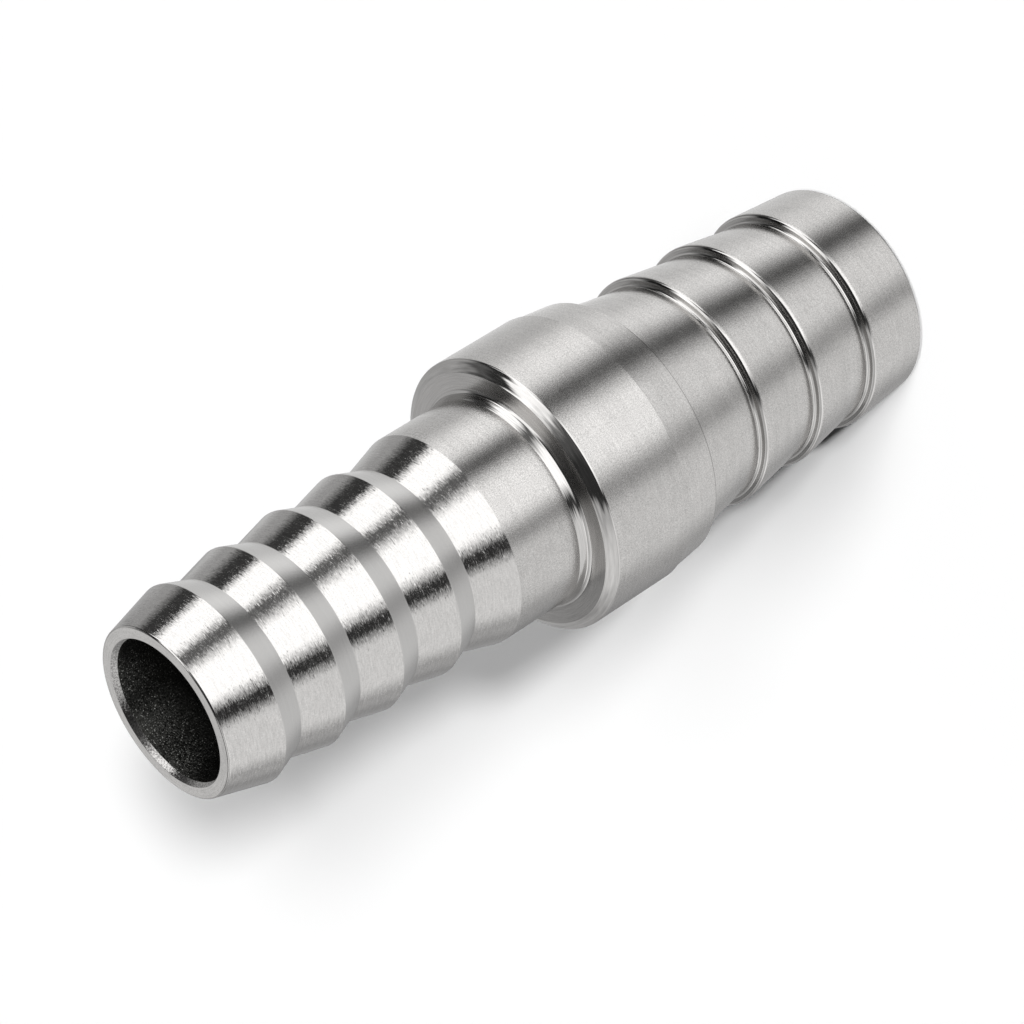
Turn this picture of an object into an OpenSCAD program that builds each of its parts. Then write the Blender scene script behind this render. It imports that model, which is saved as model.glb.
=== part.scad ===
// Hose barb reducer: one turned piece that joins a small hose to a larger one.
// It stands on the end of its large tail, with +Z along its axis and the small tip on top.

/* [Small tail] */
// Outer diameter of the small tip
small_tip_d = 14.3; // [13.6:0.1:15]
// Edge break around the outside of the small tip
small_tip_break = 0.2; // [0.05:0.05:0.4]
// Length of the first cone, from the tip to the first crest
small_tip_l = 4.4; // [3:0.1:7]
// Number of barbs that end in a crest
small_barbs = 4; // [2:1:6]
// Distance from one crest to the next
small_pitch = 5.66; // [4.5:0.02:8]
// Diameter of the crest nearest the tip
small_crest_first_d = 16.7; // [16.2:0.1:17.6]
// Diameter of the crest nearest the neck
small_crest_last_d = 17.3; // [16.8:0.1:18]
// Height of a crest over the root behind it
small_barb_h = 0.76; // [0.4:0.02:1]
// Length of the slope from a crest down to its root
small_back_l = 2.1; // [1:0.1:3]
// Length of the cone between the last root and the neck
small_last_cone_l = 3.7; // [2:0.1:6]
// Diameter of the plain neck
small_neck_d = 18; // [17.4:0.1:19]
// Length of the plain neck
small_neck_l = 6.6; // [4:0.1:12]

/* [Collar] */
// Diameter of the collar
collar_d = 23.4; // [22.8:0.1:26]
// Length of the collar's full diameter
collar_l = 7.65; // [5:0.05:14]
// Radius of the fillet between the neck and the shoulder
shoulder_fillet = 0.45; // [0.2:0.05:0.6]
// How far the shoulder leans towards the large tail over its width
shoulder_lean = 0.45; // [0.1:0.05:0.6]
// Width of the shoulder's outer edge, across the axis
shoulder_edge_w = 0.9; // [0.4:0.1:1.2]
// Length of the shoulder's outer edge, along the axis
shoulder_edge_l = 0.5; // [0.3:0.1:0.9]
// Drop in radius from the collar to the cone behind it
collar_drop = 0.1; // [0.05:0.05:0.3]
// Length of the cone behind the collar
taper_l = 3.35; // [2:0.05:6]
// Diameter at the end of the cone behind the collar
taper_end_d = 22.4; // [21.8:0.1:22.6]

/* [Large tail] */
// Diameter of the large neck where it meets the collar's cone
large_neck_d = 21; // [20:0.1:21.6]
// Length of the large neck, up to the first step
large_neck_l = 6.65; // [4:0.05:12]
// Number of barbs
large_barbs = 3; // [2:1:5]
// Distance from one step to the next
large_pitch = 6.44; // [5:0.02:9]
// Length from the last step to the end
large_end_l = 6.4; // [4:0.1:9]
// Diameter of the crest nearest the collar
large_crest_first_d = 20.3; // [19.8:0.1:21]
// Diameter of the crest nearest the end
large_crest_last_d = 19.3; // [18.8:0.1:20]
// Height of a crest over the root before it
large_barb_h = 0.7; // [0.4:0.05:0.8]
// Length of the narrow land on each crest
large_land_l = 0.5; // [0.2:0.1:1]
// How much the land falls towards its step
large_land_fall = 0.07; // [0.02:0.01:0.15]
// Outer diameter of the large end
large_end_d = 18.4; // [18:0.1:19]
// Edge break around the outside of the large end
large_end_break = 0.4; // [0.1:0.1:0.6]

/* [Bores] */
// Bore of the small tail
small_bore_d = 12; // [9:0.1:12.4]
// Bore of the large tail
large_bore_d = 15; // [13:0.1:15.6]
// Depth of the large bore's straight wall
large_bore_l = 31; // [20:0.5:36]
// Full angle of the cone where the large bore ends
drill_angle = 118; // [90:1:140]
// Edge break inside the small mouth
small_mouth_break = 0.15; // [0.05:0.05:0.3]
// Edge break inside the large mouth
large_mouth_break = 0.3; // [0.1:0.1:0.5]

/* [Hidden] */
$fn = 128;
cut = 1;
fillet_steps = 5;
steel = [0.74, 0.74, 0.73];

// Distances along the axis, counted from the small tip
small_last_root_s = small_tip_l + (small_barbs - 1) * small_pitch + small_back_l;
neck_start_s = small_last_root_s + small_last_cone_l;
neck_end_s = neck_start_s + small_neck_l;
shoulder_s = neck_end_s + shoulder_lean;
collar_start_s = shoulder_s + shoulder_edge_l;
collar_end_s = collar_start_s + collar_l;
taper_end_s = collar_end_s + taper_l;
first_step_s = taper_end_s + large_neck_l;
total_l = first_step_s + (large_barbs - 1) * large_pitch + large_end_l;

large_bore_cone_l = (large_bore_d - small_bore_d) / 2 / tan(drill_angle / 2);

function between(first, last, i, count) = first + (last - first) * i / (count - 1);

function small_crest_r(i) = between(small_crest_first_d, small_crest_last_d, i, small_barbs) / 2;

function large_crest_r(i) = between(large_crest_first_d, large_crest_last_d, i, large_barbs) / 2;

// Crest and root of each small barb, as [radius, distance from the tip]
function small_barb_points() = [
    for (i = [0 : small_barbs - 1], end = [0, 1])
        let (s = small_tip_l + i * small_pitch)
            [small_crest_r(i) - end * small_barb_h, s + end * small_back_l]
];

// Quarter round from the neck out to the shoulder
function shoulder_fillet_points() = [
    for (i = [0 : fillet_steps])
        let (a = 90 * i / fillet_steps)
            [
                small_neck_d / 2 + shoulder_fillet * (1 - cos(a)),
                neck_end_s - shoulder_fillet * (1 - sin(a))
            ]
];

// Root, step and land of each large barb
function large_barb_points() = [
    for (i = [0 : large_barbs - 1])
        let (s = first_step_s + i * large_pitch, crest = large_crest_r(i))
            each [
                [crest - large_barb_h, s],
                [crest - large_land_fall, s],
                [crest, s + large_land_l]
            ]
];

outline = concat(
    [
        [0, 0],
        [small_tip_d / 2 - small_tip_break, 0],
        [small_tip_d / 2, small_tip_break]
    ],
    small_barb_points(),
    [[small_neck_d / 2, neck_start_s]],
    shoulder_fillet_points(),
    [
        [collar_d / 2 - shoulder_edge_w, shoulder_s],
        [collar_d / 2, collar_start_s],
        [collar_d / 2, collar_end_s],
        [collar_d / 2 - collar_drop, collar_end_s],
        [taper_end_d / 2, taper_end_s],
        [large_neck_d / 2, taper_end_s]
    ],
    large_barb_points(),
    [
        [large_end_d / 2, total_l - large_end_break],
        [large_end_d / 2 - large_end_break, total_l],
        [0, total_l]
    ]
);

// The outside, turned with the large end on z = 0
module turned_outside() {
    rotate_extrude()
        polygon([for (p = outline) [p[0], total_l - p[1]]]);
}

// Small bore from the tip, and the large bore with its drill point from the end
module bores() {
    translate([0, 0, large_bore_l])
        cylinder(h = total_l - large_bore_l + cut, d = small_bore_d);
    translate([0, 0, -cut])
        cylinder(h = large_bore_l + cut, d = large_bore_d);
    translate([0, 0, large_bore_l])
        cylinder(h = large_bore_cone_l, d1 = large_bore_d, d2 = small_bore_d);
}

// Edge breaks inside the two mouths
module mouth_breaks() {
    translate([0, 0, total_l - small_mouth_break])
        cylinder(
            h = small_mouth_break + cut,
            d1 = small_bore_d,
            d2 = small_bore_d + 2 * (small_mouth_break + cut)
        );
    translate([0, 0, -cut])
        cylinder(
            h = large_mouth_break + cut,
            d1 = large_bore_d + 2 * (large_mouth_break + cut),
            d2 = large_bore_d
        );
}

module reducer_body() {
    color(steel)
        difference() {
            turned_outside();
            bores();
            mouth_breaks();
        }
}

reducer_body();
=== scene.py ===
# Hose barb reducer: the turned piece at full detail, its finishes, and a pale studio
import math

import bmesh
import bpy
from mathutils import Matrix, Vector


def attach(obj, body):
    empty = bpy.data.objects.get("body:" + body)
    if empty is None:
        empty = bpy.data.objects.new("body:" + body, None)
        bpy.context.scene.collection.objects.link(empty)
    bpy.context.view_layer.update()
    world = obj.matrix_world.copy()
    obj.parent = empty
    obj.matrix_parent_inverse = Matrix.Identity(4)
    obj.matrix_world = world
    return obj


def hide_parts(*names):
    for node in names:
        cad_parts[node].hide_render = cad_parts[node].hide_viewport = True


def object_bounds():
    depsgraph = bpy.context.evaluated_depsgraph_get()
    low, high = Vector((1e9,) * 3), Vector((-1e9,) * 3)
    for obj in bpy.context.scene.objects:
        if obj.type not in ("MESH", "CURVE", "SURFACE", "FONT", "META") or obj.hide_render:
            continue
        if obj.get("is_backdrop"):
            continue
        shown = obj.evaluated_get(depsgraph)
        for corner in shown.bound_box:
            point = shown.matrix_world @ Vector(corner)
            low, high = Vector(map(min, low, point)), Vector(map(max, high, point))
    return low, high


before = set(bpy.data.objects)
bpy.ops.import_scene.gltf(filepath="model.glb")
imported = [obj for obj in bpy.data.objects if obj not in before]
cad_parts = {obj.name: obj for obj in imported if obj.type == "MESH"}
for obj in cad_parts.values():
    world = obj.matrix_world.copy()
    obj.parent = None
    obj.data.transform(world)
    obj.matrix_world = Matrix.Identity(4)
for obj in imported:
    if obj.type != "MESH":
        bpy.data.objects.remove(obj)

bl_info = {
    "name": "Hose Barb Reducer",
    "version": (1, 0, 0),
    "blender": (4, 5, 0),
    "location": "3D View > Sidebar > Reducer",
    "description": "Builds a turned hose barb reducer with its finishes and its studio",
    "category": "Object",
}

NODE = "reducer_body"
MM = 0.001
CAD_LOW, CAD_HIGH = (Vector(corner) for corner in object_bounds())
TOTAL_LENGTH = CAD_HIGH.z - CAD_LOW.z
COLLAR_RADIUS = (CAD_HIGH.x - CAD_LOW.x) / 2

FINISHES = ("bright", "matte", "satin", "brushed", "arris", "rim", "dark_bore", "mouth")

# How deep the grain's bump is
GRAIN_DEPTH = 0.02 * MM
# The part of a noise's values that spans a finish's tone
TONE_RANGE = (0.35, 0.65)
# The height of a normal from which a brushed surface counts as a flat face, and is wholly one: flat faces
# get painted shade, calmer normals and more roughness
FLAT_FACE = (0.9, 0.98)
# Where along +X the painted shade line behind the collar fades out
ARRIS_SHADE_FADE = (5.8 * MM, 7.4 * MM)
# Depths in the small bore between which its bright grains fade in, towards the mouth: painted light that
# reaches into the bore
BORE_GRAINS = (6.5 * MM, 2.5 * MM)
# The most of the shorter side next to an edge that its arc, and each strip beside it, may take
ARC_SHARE = 0.8
STRIP_SHARE = 1 / 8


class ReducerSizes(bpy.types.PropertyGroup):
    """Sizes of the turned piece, counted along the axis from the small tip"""

    segments: bpy.props.IntProperty(
        name="Segments",
        description="Faces round the axis",
        default=256,
        min=64,
    )
    arc_steps: bpy.props.IntProperty(
        name="Arc steps",
        description="Faces across each rounded edge",
        default=4,
        min=2,
    )
    support: bpy.props.FloatProperty(
        name="Support",
        description="Width of the strip beside each rounded edge that keeps the surfaces true",
        default=0.03 * MM,
        subtype="DISTANCE",
    )
    tip_radius: bpy.props.FloatProperty(
        name="Tip radius", description="Outer radius of the small tip", default=7.15 * MM,
        subtype="DISTANCE",
    )
    tip_length: bpy.props.FloatProperty(
        name="Tip length", description="Tip to first crest", default=4.4 * MM, subtype="DISTANCE"
    )
    small_barbs: bpy.props.IntProperty(
        name="Small barbs", description="Barbs that end in a crest on the small tail", default=4, min=2
    )
    small_pitch: bpy.props.FloatProperty(
        name="Small pitch", description="Crest to crest on the small tail", default=5.66 * MM,
        subtype="DISTANCE",
    )
    small_crest_first: bpy.props.FloatProperty(
        name="First small crest", description="Radius of the crest next to the tip", default=8.35 * MM,
        subtype="DISTANCE",
    )
    small_crest_last: bpy.props.FloatProperty(
        name="Last small crest", description="Radius of the crest next to the neck", default=8.65 * MM,
        subtype="DISTANCE",
    )
    small_barb_height: bpy.props.FloatProperty(
        name="Small barb height", description="Crest over root", default=0.76 * MM, subtype="DISTANCE"
    )
    small_back: bpy.props.FloatProperty(
        name="Small back slope", description="Length from a crest to its root", default=2.1 * MM,
        subtype="DISTANCE",
    )
    small_last_cone: bpy.props.FloatProperty(
        name="Last small cone", description="Length from the last root to the neck", default=3.7 * MM,
        subtype="DISTANCE",
    )
    neck_radius: bpy.props.FloatProperty(
        name="Neck radius", description="Radius of the plain neck", default=9.0 * MM, subtype="DISTANCE"
    )
    neck_length: bpy.props.FloatProperty(
        name="Neck length", description="Length of the plain neck", default=6.6 * MM, subtype="DISTANCE"
    )
    shoulder_fillet: bpy.props.FloatProperty(
        name="Shoulder fillet", description="Round between neck and shoulder", default=0.35 * MM,
        subtype="DISTANCE",
    )
    shoulder_cone_length: bpy.props.FloatProperty(
        name="Shoulder cone length", description="Short cone on the neck in front of the shoulder",
        default=0.88 * MM, subtype="DISTANCE",
    )
    shoulder_cone_rise: bpy.props.FloatProperty(
        name="Shoulder cone rise", description="How much that cone rises from the neck",
        default=0.22 * MM, subtype="DISTANCE",
    )
    shoulder_lean: bpy.props.FloatProperty(
        name="Shoulder lean", description="How far the shoulder's face leans back over its width",
        default=0.05 * MM, subtype="DISTANCE",
    )
    shoulder_edge_width: bpy.props.FloatProperty(
        name="Shoulder edge width", description="Outer edge across the axis", default=0.87 * MM,
        subtype="DISTANCE",
    )
    shoulder_edge_length: bpy.props.FloatProperty(
        name="Shoulder edge length", description="Outer edge along the axis", default=0.58 * MM,
        subtype="DISTANCE",
    )
    shoulder_length: bpy.props.FloatProperty(
        name="Shoulder length", description="Neck to full diameter along the axis", default=1.0 * MM,
        subtype="DISTANCE",
    )
    collar_length: bpy.props.FloatProperty(
        name="Collar length", description="Length of the full diameter", default=7.65 * MM,
        subtype="DISTANCE",
    )
    collar_drop: bpy.props.FloatProperty(
        name="Collar drop", description="Step behind the collar", default=0.1 * MM, subtype="DISTANCE"
    )
    taper_length: bpy.props.FloatProperty(
        name="Taper length", description="Cone behind the collar", default=3.35 * MM, subtype="DISTANCE"
    )
    taper_end_radius: bpy.props.FloatProperty(
        name="Taper end radius", description="Radius where that cone ends", default=11.2 * MM,
        subtype="DISTANCE",
    )
    large_neck_radius: bpy.props.FloatProperty(
        name="Large neck radius", description="Radius of the large neck at the collar's cone",
        default=10.5 * MM, subtype="DISTANCE",
    )
    large_neck_length: bpy.props.FloatProperty(
        name="Large neck length", description="Length up to the first step", default=6.65 * MM,
        subtype="DISTANCE",
    )
    large_barbs: bpy.props.IntProperty(
        name="Large barbs", description="Barbs on the large tail", default=3, min=2
    )
    large_pitch: bpy.props.FloatProperty(
        name="Large pitch", description="Step to step on the large tail", default=6.44 * MM,
        subtype="DISTANCE",
    )
    large_crest_first: bpy.props.FloatProperty(
        name="First large crest", description="Radius of the crest next to the collar",
        default=10.15 * MM, subtype="DISTANCE",
    )
    large_crest_last: bpy.props.FloatProperty(
        name="Last large crest", description="Radius of the crest next to the end", default=9.65 * MM,
        subtype="DISTANCE",
    )
    large_barb_height: bpy.props.FloatProperty(
        name="Large barb height", description="Crest over root", default=0.7 * MM, subtype="DISTANCE"
    )
    land_length: bpy.props.FloatProperty(
        name="Land length", description="Rounded land on each large crest", default=0.32 * MM,
        subtype="DISTANCE",
    )
    land_fall: bpy.props.FloatProperty(
        name="Land fall", description="How much the land falls to its step", default=0.2 * MM,
        subtype="DISTANCE",
    )
    end_radius: bpy.props.FloatProperty(
        name="End radius", description="Outer radius of the large end", default=9.2 * MM,
        subtype="DISTANCE",
    )
    end_break: bpy.props.FloatProperty(
        name="End break", description="Edge break round the large end", default=0.4 * MM,
        subtype="DISTANCE",
    )
    small_bore: bpy.props.FloatProperty(
        name="Small bore", description="Radius of the small bore", default=6.0 * MM, subtype="DISTANCE"
    )
    large_bore: bpy.props.FloatProperty(
        name="Large bore", description="Radius of the large bore", default=7.5 * MM, subtype="DISTANCE"
    )
    large_bore_depth: bpy.props.FloatProperty(
        name="Large bore depth", description="Straight wall of the large bore", default=31.0 * MM,
        subtype="DISTANCE",
    )
    drill_angle: bpy.props.FloatProperty(
        name="Drill angle", description="Full angle of the cone between the bores",
        default=math.radians(118), subtype="ANGLE",
    )
    mouth_band: bpy.props.FloatProperty(
        name="Mouth band", description="Depth of the broken edge inside the small mouth",
        default=0.5 * MM, subtype="DISTANCE",
    )
    mouth_width: bpy.props.FloatProperty(
        name="Mouth width", description="Width of the broken edge inside the small mouth",
        default=0.17 * MM, subtype="DISTANCE",
    )


class ReducerFinish(bpy.types.PropertyGroup):
    """Colours and roughness of the turned piece"""

    bright_color: bpy.props.FloatVectorProperty(
        name="Bright", description="Colour of the bright turned cones", size=4, subtype="COLOR",
        default=(0.668, 0.656, 0.643, 1), min=0, max=1,
    )
    bright_roughness: bpy.props.FloatProperty(
        name="Bright roughness", description="Roughness of the bright turned cones", default=0.065,
        subtype="FACTOR", min=0, max=1,
    )
    satin_color: bpy.props.FloatVectorProperty(
        name="Satin", description="Colour of the satin surfaces", size=4, subtype="COLOR",
        default=(0.628, 0.616, 0.603, 1), min=0, max=1,
    )
    satin_roughness: bpy.props.FloatProperty(
        name="Satin roughness", description="Roughness of the satin surfaces", default=0.2,
        subtype="FACTOR", min=0, max=1,
    )
    matte_color: bpy.props.FloatVectorProperty(
        name="Matte", description="Colour of the back slopes", size=4, subtype="COLOR",
        default=(0.606, 0.598, 0.588, 1), min=0, max=1,
    )
    matte_roughness: bpy.props.FloatProperty(
        name="Matte roughness", description="Roughness of the back slopes", default=0.26,
        subtype="FACTOR", min=0, max=1,
    )
    # Nearly black: painted shade of the deep bores
    bore_shade_color: bpy.props.FloatVectorProperty(
        name="Bore", description="Colour inside the bores", size=4, subtype="COLOR",
        default=(0.045, 0.045, 0.042, 1), min=0, max=1,
    )
    # The bore's own grains, painted bright as glints
    grain_color: bpy.props.FloatVectorProperty(
        name="Bore grains", description="Colour of the bright grains in the small bore", size=4,
        subtype="COLOR", default=(0.45, 0.45, 0.43, 1), min=0, max=1,
    )


class ReducerStudio(bpy.types.PropertyGroup):
    """Camera and light"""

    elevation: bpy.props.FloatProperty(
        name="Elevation", description="Height of the camera above the floor, as an angle",
        default=math.radians(30.98), subtype="ANGLE",
    )
    roll: bpy.props.FloatProperty(
        name="Roll", description="Turn of the camera about its own view", default=math.radians(-122.2),
        subtype="ANGLE",
    )
    distance: bpy.props.FloatProperty(
        name="Distance", description="Camera to the point it looks at", default=307.7 * MM,
        subtype="DISTANCE",
    )
    aim: bpy.props.FloatVectorProperty(
        name="Aim", description="The point that the camera looks at", size=3, subtype="TRANSLATION",
        default=(-1.05 * MM, 0.0, 37.7 * MM),
    )
    lens: bpy.props.FloatProperty(
        name="Lens", description="Focal length", default=140.6, unit="CAMERA"
    )
    floor_size: bpy.props.FloatProperty(
        name="Floor size", description="Side of the floor", default=12.0, subtype="DISTANCE"
    )
    fill: bpy.props.FloatProperty(
        name="Fill", description="Even light on the floor from all round", default=0.02, min=0
    )
    floor_light: bpy.props.FloatProperty(
        name="Floor light", description="Strength of the lights that shade the floor", default=0.972, min=0
    )
    light_turn: bpy.props.FloatProperty(
        name="Light turn", description="Turn of those lights round the part, towards +X", default=0.0,
        subtype="ANGLE",
    )


def lerp(first, last, step, count):
    return first + (last - first) * step / (count - 1)


def outside_corners(sizes):
    """Corners of the outside from the tip to the large end: radius, distance, edge radius, finish after."""
    corners = [
        (sizes.tip_radius, 0.0, 0.17 * MM, "bright"),
    ]
    for i in range(sizes.small_barbs):
        crest = lerp(sizes.small_crest_first, sizes.small_crest_last, i, sizes.small_barbs)
        start = sizes.tip_length + i * sizes.small_pitch
        corners.append((crest, start, 0.18 * MM, "matte"))
        corners.append((crest - sizes.small_barb_height, start + sizes.small_back, 0.1 * MM, "bright"))
    neck_start = corners[-1][1] + sizes.small_last_cone
    neck_end = neck_start + sizes.neck_length
    collar = neck_end + sizes.shoulder_length
    edge = collar - sizes.shoulder_edge_length
    edge_radius = COLLAR_RADIUS - sizes.shoulder_edge_width
    face = edge - sizes.shoulder_lean
    face_radius = sizes.neck_radius + sizes.shoulder_cone_rise
    taper = collar + sizes.collar_length
    taper_end = taper + sizes.taper_length
    corners += [
        (sizes.neck_radius, neck_start, 0.3 * MM, "satin"),
        (sizes.neck_radius, face - sizes.shoulder_cone_length, 0.3 * MM, "brushed"),
        (face_radius, face, sizes.shoulder_fillet, "brushed"),
        (edge_radius, edge, 0.1 * MM, "brushed"),
        (COLLAR_RADIUS - 0.03 * MM, collar, 0.15 * MM, "brushed"),
        (COLLAR_RADIUS, collar + 0.12 * MM, 0.1 * MM, "satin"),
        (COLLAR_RADIUS, taper, 0.05 * MM, "brushed"),
        (COLLAR_RADIUS - sizes.collar_drop, taper, 0.02 * MM, "satin"),
        # Thin strip painted dark as shade where the collar's cone ends
        (sizes.taper_end_radius + 0.01 * MM, taper_end - 0.08 * MM, 0.02 * MM, "arris"),
        (sizes.taper_end_radius, taper_end, 0.04 * MM, "satin"),
        (sizes.large_neck_radius, taper_end, 0.1 * MM, "satin"),
    ]
    for i in range(sizes.large_barbs):
        crest = lerp(sizes.large_crest_first, sizes.large_crest_last, i, sizes.large_barbs)
        root = crest - sizes.large_barb_height
        step = taper_end + sizes.large_neck_length + i * sizes.large_pitch
        # Where the cone before it ends, its hollow foot, the top of its face, and its rounded land
        corners += [
            (root, step - 0.27 * MM, 0.5 * MM, "brushed"),
            (root + 0.05 * MM, step + 0.04 * MM, 0.3 * MM, "brushed"),
            (crest - sizes.land_fall, step + 0.08 * MM, 0.1 * MM, "brushed"),
            (crest, step + sizes.land_length, 0.4 * MM, "satin"),
        ]
    corners += [
        (sizes.end_radius, TOTAL_LENGTH - sizes.end_break, 0.25 * MM, "satin"),
        (sizes.end_radius - sizes.end_break, TOTAL_LENGTH, 0.15 * MM, "brushed"),
    ]
    return corners


def inside_corners(sizes):
    """Corners of the bores from the large mouth back to the small one."""
    cone = (sizes.large_bore - sizes.small_bore) / math.tan(sizes.drill_angle / 2)
    depth = TOTAL_LENGTH - sizes.large_bore_depth
    return [
        (sizes.large_bore + 0.3 * MM, TOTAL_LENGTH, 0.05 * MM, "satin"),
        # The bores' walls take the nearly black colour that is painted shade
        (sizes.large_bore, TOTAL_LENGTH - 0.3 * MM, 0.1 * MM, "dark_bore"),
        (sizes.large_bore, depth, 0.1 * MM, "dark_bore"),
        (sizes.small_bore, depth - cone, 0.1 * MM, "dark_bore"),
        (sizes.small_bore, sizes.mouth_band, 0.1 * MM, "mouth"),
        (sizes.small_bore + sizes.mouth_width, 0.0, 0.04 * MM, "rim"),
    ]


def rounded_outline(corners, steps, support):
    """Turns corners into points with an arc at each, and a short flat strip on each side of it."""
    points = []
    count = len(corners)
    for i, (radius, distance, edge, finish) in enumerate(corners):
        here = Vector((radius, distance))
        before = Vector(corners[i - 1][:2]) - here
        after = Vector(corners[(i + 1) % count][:2]) - here
        into, out = before.normalized(), after.normalized()
        half = into.angle(out) / 2
        shorter = min(before.length, after.length)
        strip = min(support, shorter * STRIP_SHARE)
        reach = min(edge * math.tan(math.pi / 2 - half), ARC_SHARE * shorter - 2 * strip)
        edge = reach * math.tan(half)
        centre = here + (into + out).normalized() * edge / math.sin(half)
        first = here + into * reach - centre
        sweep = math.pi - 2 * half
        side = 1 if into.x * out.y - into.y * out.x < 0 else -1
        finish_before = corners[i - 1][3]
        points.append((here + into * (reach + strip), finish_before))
        for step in range(steps + 1):
            turn = Matrix.Rotation(side * sweep * step / steps, 2)
            last = step == steps
            points.append((centre + turn @ first, finish if last or step >= steps / 2 else finish_before))
        points.append((here + out * (reach + strip), finish))
    return points


def turned_mesh(name, outline, segments):
    """Revolves a closed outline of (radius, distance from the tip) about +Z, tip on top."""
    mesh = bpy.data.meshes.new(name)
    bm = bmesh.new()
    rings = []
    for point, _finish in outline:
        ring = []
        for k in range(segments):
            angle = 2 * math.pi * k / segments
            ring.append(bm.verts.new((
                point.x * math.cos(angle),
                point.x * math.sin(angle),
                TOTAL_LENGTH - point.y,
            )))
        rings.append(ring)
    for i, ring in enumerate(rings):
        following = rings[(i + 1) % len(rings)]
        for k in range(segments):
            following_k = (k + 1) % segments
            face = bm.faces.new((ring[k], following[k], following[following_k], ring[following_k]))
            face.smooth = True
            face.material_index = FINISHES.index(outline[i][1])
    bmesh.ops.recalc_face_normals(bm, faces=bm.faces)
    bm.to_mesh(mesh)
    bm.free()
    return mesh


class Shader:
    """Short calls for the nodes of one material or world"""

    def __init__(self, tree):
        self.nodes = tree.nodes
        self.links = tree.links

    def add(self, kind, inputs=(), **settings):
        node = self.nodes.new(kind)
        for key, value in settings.items():
            setattr(node, key, value)
        for key, value in dict(inputs).items():
            self.feed(node, key, value)
        return node

    def feed(self, node, key, value):
        if isinstance(value, bpy.types.NodeSocket):
            self.links.new(value, node.inputs[key])
        else:
            node.inputs[key].default_value = value

    def math(self, operation, first, second=0.0, third=0.0):
        node = self.add("ShaderNodeMath", {0: first, 1: second, 2: third}, operation=operation)
        return node.outputs[0]

    def vector(self, operation, first, second=(0, 0, 0), scale=1.0):
        node = self.add("ShaderNodeVectorMath", {0: first, 1: second}, operation=operation)
        if operation == "SCALE":
            self.feed(node, "Scale", scale)
        return node.outputs[0]

    def noise(self, vector, scale, detail=2.0, roughness=0.5, seed=0.0):
        """Value of a noise, whose scale counts per metre and whose seed picks the pattern."""
        node = self.add(
            "ShaderNodeTexNoise",
            {"Vector": vector, "W": seed, "Scale": scale, "Detail": detail, "Roughness": roughness},
            noise_dimensions="4D",
        )
        return node.outputs["Fac"]

    def spread(self, value, low, high, new_low=0.0, new_high=1.0, smooth=False):
        node = self.add(
            "ShaderNodeMapRange",
            {"Value": value, "From Min": low, "From Max": high, "To Min": new_low, "To Max": new_high},
        )
        node.interpolation_type = "SMOOTHSTEP" if smooth else "LINEAR"
        return node.outputs["Result"]

    def mix(self, factor, first, second):
        """Colour between two; a mix node's colour sockets are 6, 7 and, for the result, 2."""
        node = self.add("ShaderNodeMix", data_type="RGBA")
        for socket, value in ((0, factor), (6, first), (7, second)):
            self.feed(node, socket, value)
        return node.outputs[2]


def metal(name):
    """An empty material with one metal shader, and its helper."""
    material = bpy.data.materials.new(name)
    material.use_nodes = True
    material.node_tree.nodes.clear()
    shader = Shader(material.node_tree)
    surface = shader.add("ShaderNodeBsdfPrincipled", {"Metallic": 1.0})
    output = shader.add("ShaderNodeOutputMaterial")
    shader.links.new(surface.outputs[0], output.inputs[0])
    return material, shader, surface


def shades(shader, color, deep, pale, tone):
    """The colour times deep where the tone is 0, and times pale where it is 1."""
    darker, lighter = ([c * level for c in color[:3]] + [1] for level in (deep, pale))
    return shader.mix(tone, darker, lighter)


def piece_place(shader):
    """Position on the piece, in metres from the middle of its large end."""
    return shader.add("ShaderNodeTexCoord").outputs["Object"]


def stretched_place(shader, across, along):
    """That position, and the same with scales per metre that make noise run in rings round the axis."""
    place = piece_place(shader)
    mapping = shader.add("ShaderNodeMapping", {"Vector": place, "Scale": (across, across, along)})
    return place, mapping.outputs[0]


def axis_distance(shader, place):
    """Distance from the axis, and height along it."""
    x, y, z = shader.add("ShaderNodeSeparateXYZ", {0: place}).outputs
    radius = shader.math("SQRT", shader.math("MULTIPLY_ADD", x, x, shader.math("MULTIPLY", y, y)))
    return radius, z


def upward(shader, amount):
    """A direction of that length along the axis."""
    return shader.add("ShaderNodeCombineXYZ", {"Z": amount}).outputs[0]


def outward(shader, place, amount):
    """A direction of that length away from the axis."""
    flat = shader.vector("NORMALIZE", shader.vector("MULTIPLY", place, (1, 1, 0)))
    return shader.vector("SCALE", flat, scale=amount)


def roundward(shader, place, amount):
    """A direction of that length round the axis."""
    flat = shader.vector("MULTIPLY", place, (1, 1, 0))
    tangent = shader.vector("NORMALIZE", shader.vector("CROSS_PRODUCT", (0, 0, 1), flat))
    return shader.vector("SCALE", tangent, scale=amount)


def surface_normal(shader):
    return shader.add("ShaderNodeNewGeometry").outputs["Normal"]


def leaned_normal(shader, *leans):
    """The surface's normal, leaned by each of the directions."""
    normal = surface_normal(shader)
    for lean in leans:
        normal = shader.vector("ADD", normal, lean)
    return shader.vector("NORMALIZE", normal)


def tool_marks(shader, slight, far, most_along, across, along):
    """Normal with fine turning marks: most lean slightly round the axis, a few lean far."""
    place, stretched = stretched_place(shader, across, along)
    mark = shader.spread(shader.noise(stretched, 1.0, roughness=0.6), 0.28, 0.72, -1.0, 1.0)
    share = shader.math("MULTIPLY_ADD", shader.math("MULTIPLY", mark, mark), far, slight)
    lean_round = shader.math("MULTIPLY", mark, share)
    wave = shader.noise(stretched, 1.0, detail=1.0, seed=7.0)
    lean_along = shader.spread(wave, 0, 1, -most_along, most_along)
    return leaned_normal(shader, roundward(shader, place, lean_round), upward(shader, lean_along))


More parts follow.
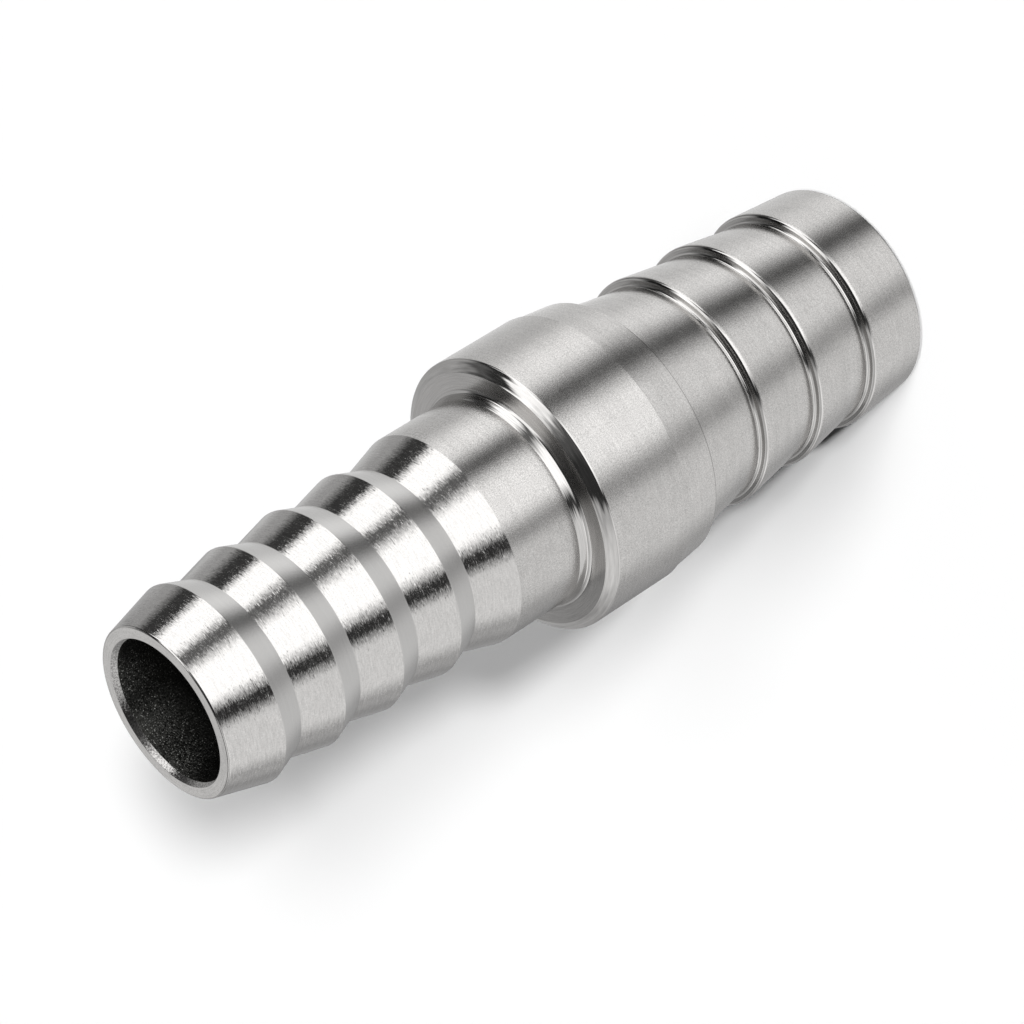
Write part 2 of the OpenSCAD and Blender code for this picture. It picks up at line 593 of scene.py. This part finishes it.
def grain(shader, scale, strength, seed):
    """A fine even grain as a normal."""
    height = shader.noise(piece_place(shader), scale, detail=3.0, roughness=0.65, seed=seed)
    bump = shader.add("ShaderNodeBump", {"Strength": strength, "Distance": GRAIN_DEPTH, "Height": height})
    return bump.outputs[0]


def bright_finish(finish):
    """Bright turned cones: near mirror, with fine marks round the axis."""
    material, shader, surface = metal("bright_turned_steel")
    place, stretched = stretched_place(shader, across=1200.0, along=10000.0)
    streak = shader.noise(stretched, 1.0, detail=3.0, roughness=0.6, seed=3.0)
    speck = shader.noise(place, 8000.0, roughness=0.6, seed=4.0)
    tone = shader.math("MULTIPLY_ADD", speck, 0.45, shader.math("MULTIPLY", streak, 0.55))
    color = shades(shader, finish.bright_color, 0.82, 1.12, shader.spread(tone, *TONE_RANGE))
    fine = finish.bright_roughness
    marks = tool_marks(shader, slight=0.018, far=0.09, most_along=0.04, across=2700.0, along=13000.0)
    shader.feed(surface, "Base Color", color)
    shader.feed(surface, "Roughness", shader.spread(tone, 0.45, 0.65, fine * 0.8, fine * 3.5))
    shader.feed(surface, "Normal", marks)
    return material


def satin_finish(finish):
    """Satin steel: a fine grain with faint rings."""
    material, shader, surface = metal("satin_steel")
    place, stretched = stretched_place(shader, across=250.0, along=5000.0)
    ring = shader.noise(stretched, 1.0, seed=11.0)
    speck = shader.noise(place, 10000.0, roughness=0.6, seed=5.0)
    patch = shader.noise(place, 450.0, detail=3.0, roughness=0.6, seed=9.0)
    tone = shader.math("MULTIPLY_ADD", ring, 0.15, shader.math("MULTIPLY", patch, 0.15))
    tone = shader.math("MULTIPLY_ADD", speck, 0.7, tone)
    color = shades(shader, finish.satin_color, 0.73, 1.24, shader.spread(tone, *TONE_RANGE))
    rough = finish.satin_roughness
    shader.feed(surface, "Base Color", color)
    shader.feed(surface, "Roughness", shader.spread(patch, 0.3, 0.7, rough * 0.92, rough * 1.12))
    shader.feed(surface, "Normal", grain(shader, 9000.0, strength=0.35, seed=21.0))
    return material


def matte_finish(finish):
    """Back slopes of the small barbs: even matte grey with faint rings."""
    material, shader, surface = metal("matte_steel")
    _place, stretched = stretched_place(shader, across=200.0, along=9000.0)
    ring = shader.noise(stretched, 1.0, seed=31.0)
    shader.feed(surface, "Base Color", shades(shader, finish.matte_color, 0.93, 1.05, ring))
    shader.feed(surface, "Roughness", finish.matte_roughness)
    shader.feed(surface, "Normal", grain(shader, 6000.0, strength=0.2, seed=41.0))
    return material


def brushed_finish(finish):
    """Shoulder, steps and end faces: rings left by the facing tool; flat faces that face the small tip are
    calmer and rougher, and painted darker as shade.
    """
    material, shader, surface = metal("brushed_face_steel")
    place = piece_place(shader)
    radius, height = axis_distance(shader, place)
    rings = shader.math("MULTIPLY", shader.math("ADD", radius, height), 16000.0)
    ringed = shader.vector("ADD", shader.vector("SCALE", place, scale=400.0), upward(shader, rings))
    mark = shader.noise(ringed, 1.0, roughness=0.6, seed=51.0)
    color = shades(shader, finish.bright_color, 0.82, 1.08, shader.spread(mark, 0.3, 0.7))
    facing = shader.add("ShaderNodeSeparateXYZ", {0: surface_normal(shader)}).outputs[2]
    # Painted shade: flat faces that face the small tip get a darker colour; they also get calmer normals
    # and more roughness
    face_shade, calm, rough = (
        shader.spread(facing, *FLAT_FACE, elsewhere, flat)
        for elsewhere, flat in ((1.0, 0.74), (1.0, 0.25), (0.0, 0.12))
    )
    turn = shader.noise(ringed, 1.0, detail=1.0, seed=57.0)
    lean_out = shader.math("MULTIPLY", shader.spread(mark, 0, 1, -0.09, 0.09), calm)
    lean_round = shader.math("MULTIPLY", shader.spread(turn, 0, 1, -0.12, 0.12), calm)
    normal = leaned_normal(shader, outward(shader, place, lean_out), roundward(shader, place, lean_round))
    shader.feed(surface, "Base Color", shader.vector("SCALE", color, scale=face_shade))
    marked = shader.spread(mark, 0.3, 0.7, 0.07, 0.13)
    shader.feed(surface, "Roughness", shader.math("ADD", marked, rough))
    shader.feed(surface, "Normal", normal)
    return material


def arris_shade_line(finish):
    """Painted shade: a thin dark line where the collar's cone ends, fading out towards the +X side."""
    material, shader, surface = metal("arris_painted_shade_steel")
    x = shader.add("ShaderNodeSeparateXYZ", {0: piece_place(shader)}).outputs[0]
    # Colour of the line: painted shade, darkest away from +X
    unshaded = shader.spread(x, *ARRIS_SHADE_FADE)
    shader.feed(surface, "Base Color", shades(shader, finish.satin_color, 0.5, 1.0, unshaded))
    shader.feed(surface, "Roughness", finish.satin_roughness)
    return material


def rim_finish(finish):
    """Face of the small end: even grey with faint rings."""
    material, shader, surface = metal("rim_face_steel")
    place = piece_place(shader)
    radius, _height = axis_distance(shader, place)
    rings = upward(shader, shader.math("MULTIPLY", radius, 9000.0))
    ringed = shader.vector("ADD", shader.vector("SCALE", place, scale=500.0), rings)
    ring = shader.noise(ringed, 1.0, roughness=0.6, seed=81.0)
    speck = shader.noise(place, 7000.0, roughness=0.6, seed=83.0)
    tone = shader.math("MULTIPLY_ADD", speck, 0.5, shader.math("MULTIPLY", ring, 0.5))
    color = shades(shader, finish.satin_color, 0.80, 1.05, shader.spread(tone, *TONE_RANGE))
    shader.feed(surface, "Base Color", color)
    shader.feed(surface, "Roughness", 0.09)
    shader.feed(surface, "Normal", grain(shader, 6000.0, strength=0.2, seed=87.0))
    return material


def bore_finish(finish):
    """Inside of the bores: painted nearly black as shade, with fine grains that catch the light next to the
    small mouth, painted brighter there as glints.
    """
    material, shader, surface = metal("dark_bore_steel")
    place = piece_place(shader)
    _radius, height = axis_distance(shader, place)
    # Painted light: the grains are painted brighter only towards the mouth; the same ramp leans their
    # normals
    near = shader.spread(height, *(TOTAL_LENGTH - depth for depth in BORE_GRAINS), 0.1, 1.0)
    speck = shader.noise(place, 9000.0, detail=1.0, seed=61.0)
    dot = shader.math("MULTIPLY", shader.spread(speck, 0.60, 0.72), near)
    up_noise = shader.noise(place, 8000.0, detail=1.0, seed=67.0)
    round_noise = shader.noise(place, 8000.0, detail=1.0, seed=69.0)
    lean_up = shader.math("MULTIPLY_ADD", shader.spread(up_noise, 0.3, 0.7, -0.2, 0.2), near, 0.3)
    lean_round = shader.math("MULTIPLY", shader.spread(round_noise, 0.3, 0.7, -0.15, 0.15), near)
    normal = leaned_normal(shader, roundward(shader, place, lean_round), upward(shader, lean_up))
    # Painted shade in the bore, with grains painted bright near the mouth
    shader.feed(surface, "Base Color", shader.mix(dot, finish.bore_shade_color, finish.grain_color))
    shader.feed(surface, "Roughness", 0.35)
    shader.feed(surface, "Normal", normal)
    return material


def mouth_finish(finish):
    """Broken edge inside the small mouth: rough cut, with bright and dark grains."""
    material, shader, surface = metal("mouth_edge_steel")
    place = piece_place(shader)
    speck = shader.noise(place, 8000.0, detail=1.0, seed=71.0)
    color = shades(shader, finish.bright_color, 0.4, 0.85, shader.spread(speck, 0.35, 0.6))
    up_noise = shader.noise(place, 8000.0, roughness=0.6, seed=73.0)
    round_noise = shader.noise(place, 8000.0, roughness=0.6, seed=77.0)
    lean_up = shader.spread(up_noise, 0, 1, 0.5, 1.1)
    lean_round = shader.spread(round_noise, 0, 1, -0.3, 0.3)
    normal = leaned_normal(shader, roundward(shader, place, lean_round), upward(shader, lean_up))
    shader.feed(surface, "Base Color", color)
    shader.feed(surface, "Roughness", 0.16)
    shader.feed(surface, "Normal", normal)
    return material


FINISH_MAKERS = {
    "bright": bright_finish,
    "matte": matte_finish,
    "satin": satin_finish,
    "brushed": brushed_finish,
    "arris": arris_shade_line,
    "rim": rim_finish,
    "dark_bore": bore_finish,
    "mouth": mouth_finish,
}


class REDUCER_OT_body(bpy.types.Operator):
    """Build the turned body with its finishes"""

    bl_idname = "reducer.body"
    bl_label = "Turned body"

    def execute(self, context):
        sizes = context.scene.reducer_sizes
        finish = context.scene.reducer_finish
        corners = outside_corners(sizes) + inside_corners(sizes)
        outline = rounded_outline(corners, sizes.arc_steps, sizes.support)
        mesh = turned_mesh("turned_body", outline, sizes.segments)
        for name in FINISHES:
            mesh.materials.append(FINISH_MAKERS[name](finish))
        piece = bpy.data.objects.new("turned_body", mesh)
        context.scene.collection.objects.link(piece)
        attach(piece, "root")
        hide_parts(NODE)
        return {"FINISHED"}


# Rows of soft panels and dark flags round the part. Each row lights the surfaces that tilt towards the
# small end by the angles in LIGHT_ROWS. A panel is (from, to, brightness), in degrees round the axis.
UNDER_PANELS = (
    (-90, 0, 0.45),
    (20, 90, 0.10),
)
BACK_SLOPE_PANELS = (
    (-90, -80, 0.28),
    (-68, -62, 0.40),
    (-46, -28, 0.77),
    (-18, -13, 0.40),
    (-5, 9, 0.94),
    (18.5, 23.5, 0.04),
    (33, 40, 1.16),
    (50, 66, 0.75),
    (75, 77, 1.05),
    (84, 90, 1.4),
)
LOW_PANELS = (
    (-90, -80, 0.28),
    (-68, -62, 0.42),
    (-48, -24, 0.83),
    (-18, -15, 0.42),
    (-6, 9.5, 0.94),
    (20, 24.5, 0.07),
    (35, 42, 0.98),
    (52, 64, 0.75),
    (76, 90, 0.85),
)
LEVEL_PANELS = (
    (-90, -80, 0.26),
    (-66, -62, 0.44),
    (-50, -25, 0.81),
    (-19, -16, 0.30),
    (-8, 11.5, 1.30),
    (20.5, 25, 0.06),
    (33.5, 42, 1.25),
    (54, 66, 0.62),
    (80, 90, 0.76),
)
CONE_PANELS = (
    (-90, -80, 0.34),
    (-72, -66, 0.46),
    (-55, -28, 0.88),
    (-21, -16, 0.04),
    (-7.5, 10, 1.6),
    (18.5, 23, 0.15),
    (29, 42, 1.6),
    (48, 57, 0.05),
    (66, 72, 0.42),
    (86, 90, 0.60),
)
FILLET_PANELS = (
    (-90, -78, 0.36),
    (-60, -30, 1.25),
    (-23, -17, 0.06),
    (-9.5, 14, 1.5),
    (21, 28.5, 0.06),
    (35, 47, 1.9),
    (53, 74, 0.05),
    (86, 90, 0.45),
)
EDGE_PANELS = (
    (-90, -78, 0.30),
    (-58, -38, 0.60),
    (-28, -26, 0.56),
    (-20, 7, 0.025),
    (12, 15, 0.08),
    (21, 25, 1.3),
    (29, 38.5, 1.6),
    (43.5, 58, 0.01),
    (70, 90, 0.48),
)
CHAMFER_PANELS = (
    (-90, -78, 0.42),
    (-58, -38, 0.84),
    (-28, -26, 0.56),
    (-19, -6, 0.035),
    (1, 7, 0.10),
    (11, 12, 0.27),
    (19, 23, 1.35),
    (28, 38, 1.6),
    (44, 50, 0.03),
    (56, 60, 0.12),
    (70, 90, 0.46),
)
LINE_PANELS = (
    (-90, -78, 0.50),
    (-70, -26, 1.15),
    (-18, 50, 0.02),
    (58, 72, 0.20),
    (82, 90, 0.60),
)
FACE_PANELS = (
    (-90, -66, 0.20),
    (-56, 10, 0.015),
    (24, 32, 0.95),
    (42, 54, 0.02),
    (64, 68, 0.35),
    (80, 90, 0.65),
)
RIM_PANELS = (
    (-90, -50, 0.28),
    (-30, 30, 0.50),
    (56, 68, 0.62),
    (84, 90, 0.80),
)
BACK_PANEL = 0.76
# Behind the part a plain panel takes over from the rows, over these depths past the line of sight and
# over these tilts in radians. It is dimmer where it starts, and full from the last tilt on.
BACK_DEPTHS = (-0.036, -0.018)
BACK_TILTS = (1.0, 1.2)
BACK_DIM = 0.55
BACK_FULL_TILT = 1.5
# What the camera sees behind the part
BACKDROP = (0.985, 0.985, 0.985, 1)
# Each row and the tilts over which it takes over from the row before, in degrees
LIGHT_ROWS = (
    (UNDER_PANELS, None),
    (BACK_SLOPE_PANELS, (-31, -26)),
    (LOW_PANELS, (-15, -11)),
    (LEVEL_PANELS, (-5.5, -1.5)),
    (CONE_PANELS, (4, 9)),
    (FILLET_PANELS, (20, 24)),
    (EDGE_PANELS, (28, 31)),
    (CHAMFER_PANELS, (44, 48)),
    (LINE_PANELS, (61, 64)),
    (FACE_PANELS, (70, 73)),
    (RIM_PANELS, (79, 83)),
)


def panel_ramp(shader, turn, panels):
    """A colour ramp over the turn round the axis, with one flat stretch for each panel."""
    node = shader.add("ShaderNodeValToRGB", {"Fac": turn})
    ramp = node.color_ramp
    stops = [(edge, level) for start, end, level in panels for edge in (start, end)]
    while len(ramp.elements) < len(stops):
        ramp.elements.new(1.0)
    for element, (edge, level) in zip(ramp.elements, stops):
        element.position = edge / 180 + 0.5
        element.color = (level, level, level, 1)
    return node.outputs["Color"]


def make_world(studio):
    """Studio light: panels that run along the part, a plain one behind it, and white for the camera."""
    world = bpy.data.worlds.new("studio")
    world.use_nodes = True
    world.node_tree.nodes.clear()
    shader = Shader(world.node_tree)
    direction = shader.add("ShaderNodeTexCoord").outputs["Generated"]
    x, y, z = shader.add("ShaderNodeSeparateXYZ", {0: direction}).outputs
    depth = shader.math("SUBTRACT", math.cos(studio.elevation), y)
    turn = shader.math("MULTIPLY_ADD", shader.math("ARCTAN2", x, depth), 1 / math.pi, 0.5)
    flat = shader.math("SQRT", shader.math("MULTIPLY_ADD", x, x, shader.math("MULTIPLY", depth, depth)))
    tilt = shader.math("ARCTAN2", shader.math("ADD", z, math.sin(studio.elevation)), flat)
    light = None
    for panels, takeover in LIGHT_ROWS:
        row = panel_ramp(shader, turn, panels)
        if takeover:
            start, end = (math.radians(angle) for angle in takeover)
            row = shader.mix(shader.spread(tilt, start, end, smooth=True), light, row)
        light = row
    behind = shader.math(
        "MULTIPLY", shader.spread(depth, *BACK_DEPTHS, 1.0, 0.0), shader.spread(tilt, *BACK_TILTS)
    )
    back = shader.spread(tilt, BACK_TILTS[1], BACK_FULL_TILT, BACK_PANEL * BACK_DIM, BACK_PANEL)
    light = shader.mix(behind, light, back)
    path = shader.add("ShaderNodeLightPath")
    on_floor = shader.math("GREATER_THAN", path.outputs["Diffuse Depth"], 0.5)
    lit = shader.mix(on_floor, light, (studio.fill, studio.fill, studio.fill, 1))
    shown = shader.mix(path.outputs["Is Camera Ray"], lit, BACKDROP)
    background = shader.add("ShaderNodeBackground", {"Color": shown, "Strength": 1.0})
    output = shader.add("ShaderNodeOutputWorld")
    shader.links.new(background.outputs[0], output.inputs[0])
    return world


def make_floor(size):
    """Plain pale floor that the part stands on."""
    mesh = bpy.data.meshes.new("floor")
    half = size / 2
    corners = [(-half, -half, 0), (half, -half, 0), (half, half, 0), (-half, half, 0)]
    mesh.from_pydata(corners, [], [(0, 1, 2, 3)])
    material = bpy.data.materials.new("pale_floor")
    material.use_nodes = True
    surface = material.node_tree.nodes["Principled BSDF"]
    surface.inputs["Base Color"].default_value = (0.9, 0.9, 0.9, 1)
    surface.inputs["Roughness"].default_value = 1.0
    surface.inputs["Specular IOR Level"].default_value = 0.0
    mesh.materials.append(material)
    floor = bpy.data.objects.new("floor", mesh)
    bpy.context.scene.collection.objects.link(floor)
    floor.visible_glossy = False
    floor.visible_shadow = False
    floor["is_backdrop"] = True


# Soft lights from beside the camera: azimuth from its side towards +X, height and width in degrees, power
FLOOR_LIGHTS = (
    ("key_light", 3, 24, 3, 3.84),
    ("side_light", 7, 27, 5, 1.59),
    ("high_light", 15, 54, 14, 0.78),
    ("top_light", 15, 66, 14, 0.63),
)


def make_floor_lights(studio):
    """Soft lights that give the part its shadow; the metal itself mirrors the panels instead."""
    for name, azimuth, height, width, power in FLOOR_LIGHTS:
        data = bpy.data.lights.new(name, "SUN")
        data.energy = power * studio.floor_light
        data.angle = math.radians(width)
        azimuth = math.radians(azimuth) + studio.light_turn
        height = math.radians(height)
        place = Vector((
            math.cos(height) * math.sin(azimuth),
            -math.cos(height) * math.cos(azimuth),
            math.sin(height),
        ))
        light = bpy.data.objects.new(name, data)
        bpy.context.scene.collection.objects.link(light)
        light.location = place
        light.rotation_euler = (-place).to_track_quat("-Z", "Y").to_euler()
        light.visible_glossy = False


def make_camera(studio):
    """Camera at the photograph's angle, rolled so that the axis runs up to the right."""
    data = bpy.data.cameras.new("camera")
    data.lens = studio.lens
    data.sensor_width = 36.0
    data.clip_start = 0.01
    data.clip_end = 50.0
    aim = Vector(studio.aim)
    back = Vector((0, -math.cos(studio.elevation), math.sin(studio.elevation)))
    camera = bpy.data.objects.new("camera", data)
    bpy.context.scene.collection.objects.link(camera)
    upright = (-back).to_track_quat("-Z", "Y").to_matrix().to_4x4()
    roll = Matrix.Rotation(studio.roll, 4, "Z")
    camera.matrix_world = Matrix.Translation(aim + back * studio.distance) @ upright @ roll
    bpy.context.scene.camera = camera


class REDUCER_OT_stage(bpy.types.Operator):
    """Make the floor, the light and the camera"""

    bl_idname = "reducer.stage"
    bl_label = "Stage"

    def execute(self, context):
        studio = context.scene.reducer_studio
        context.scene.world = make_world(studio)
        context.scene.view_settings.view_transform = "Standard"
        make_floor(studio.floor_size)
        make_floor_lights(studio)
        make_camera(studio)
        return {"FINISHED"}


class REDUCER_PT_panel(bpy.types.Panel):
    """Buttons for the reducer and its stage"""

    bl_idname = "REDUCER_PT_panel"
    bl_label = "Hose barb reducer"
    bl_space_type = "VIEW_3D"
    bl_region_type = "UI"
    bl_category = "Reducer"

    def draw(self, context):
        layout = self.layout
        for operator in OPERATORS:
            layout.operator(operator.bl_idname)
        for group in GROUPS:
            settings = getattr(context.scene, group)
            for name in settings.bl_rna.properties.keys():
                if name not in ("name", "rna_type"):
                    layout.prop(settings, name)


OPERATORS = (REDUCER_OT_body, REDUCER_OT_stage)
GROUPS = {
    "reducer_sizes": ReducerSizes,
    "reducer_finish": ReducerFinish,
    "reducer_studio": ReducerStudio,
}


def register():
    for group, kind in GROUPS.items():
        bpy.utils.register_class(kind)
        setattr(bpy.types.Scene, group, bpy.props.PointerProperty(type=kind))
    for kind in OPERATORS + (REDUCER_PT_panel,):
        bpy.utils.register_class(kind)


def unregister():
    for kind in (REDUCER_PT_panel,) + OPERATORS[::-1]:
        bpy.utils.unregister_class(kind)
    for group, kind in GROUPS.items():
        delattr(bpy.types.Scene, group)
        bpy.utils.unregister_class(kind)


def main():
    register()
    bpy.ops.reducer.body()
    bpy.ops.reducer.stage()


if __name__ == "__main__":
    main()
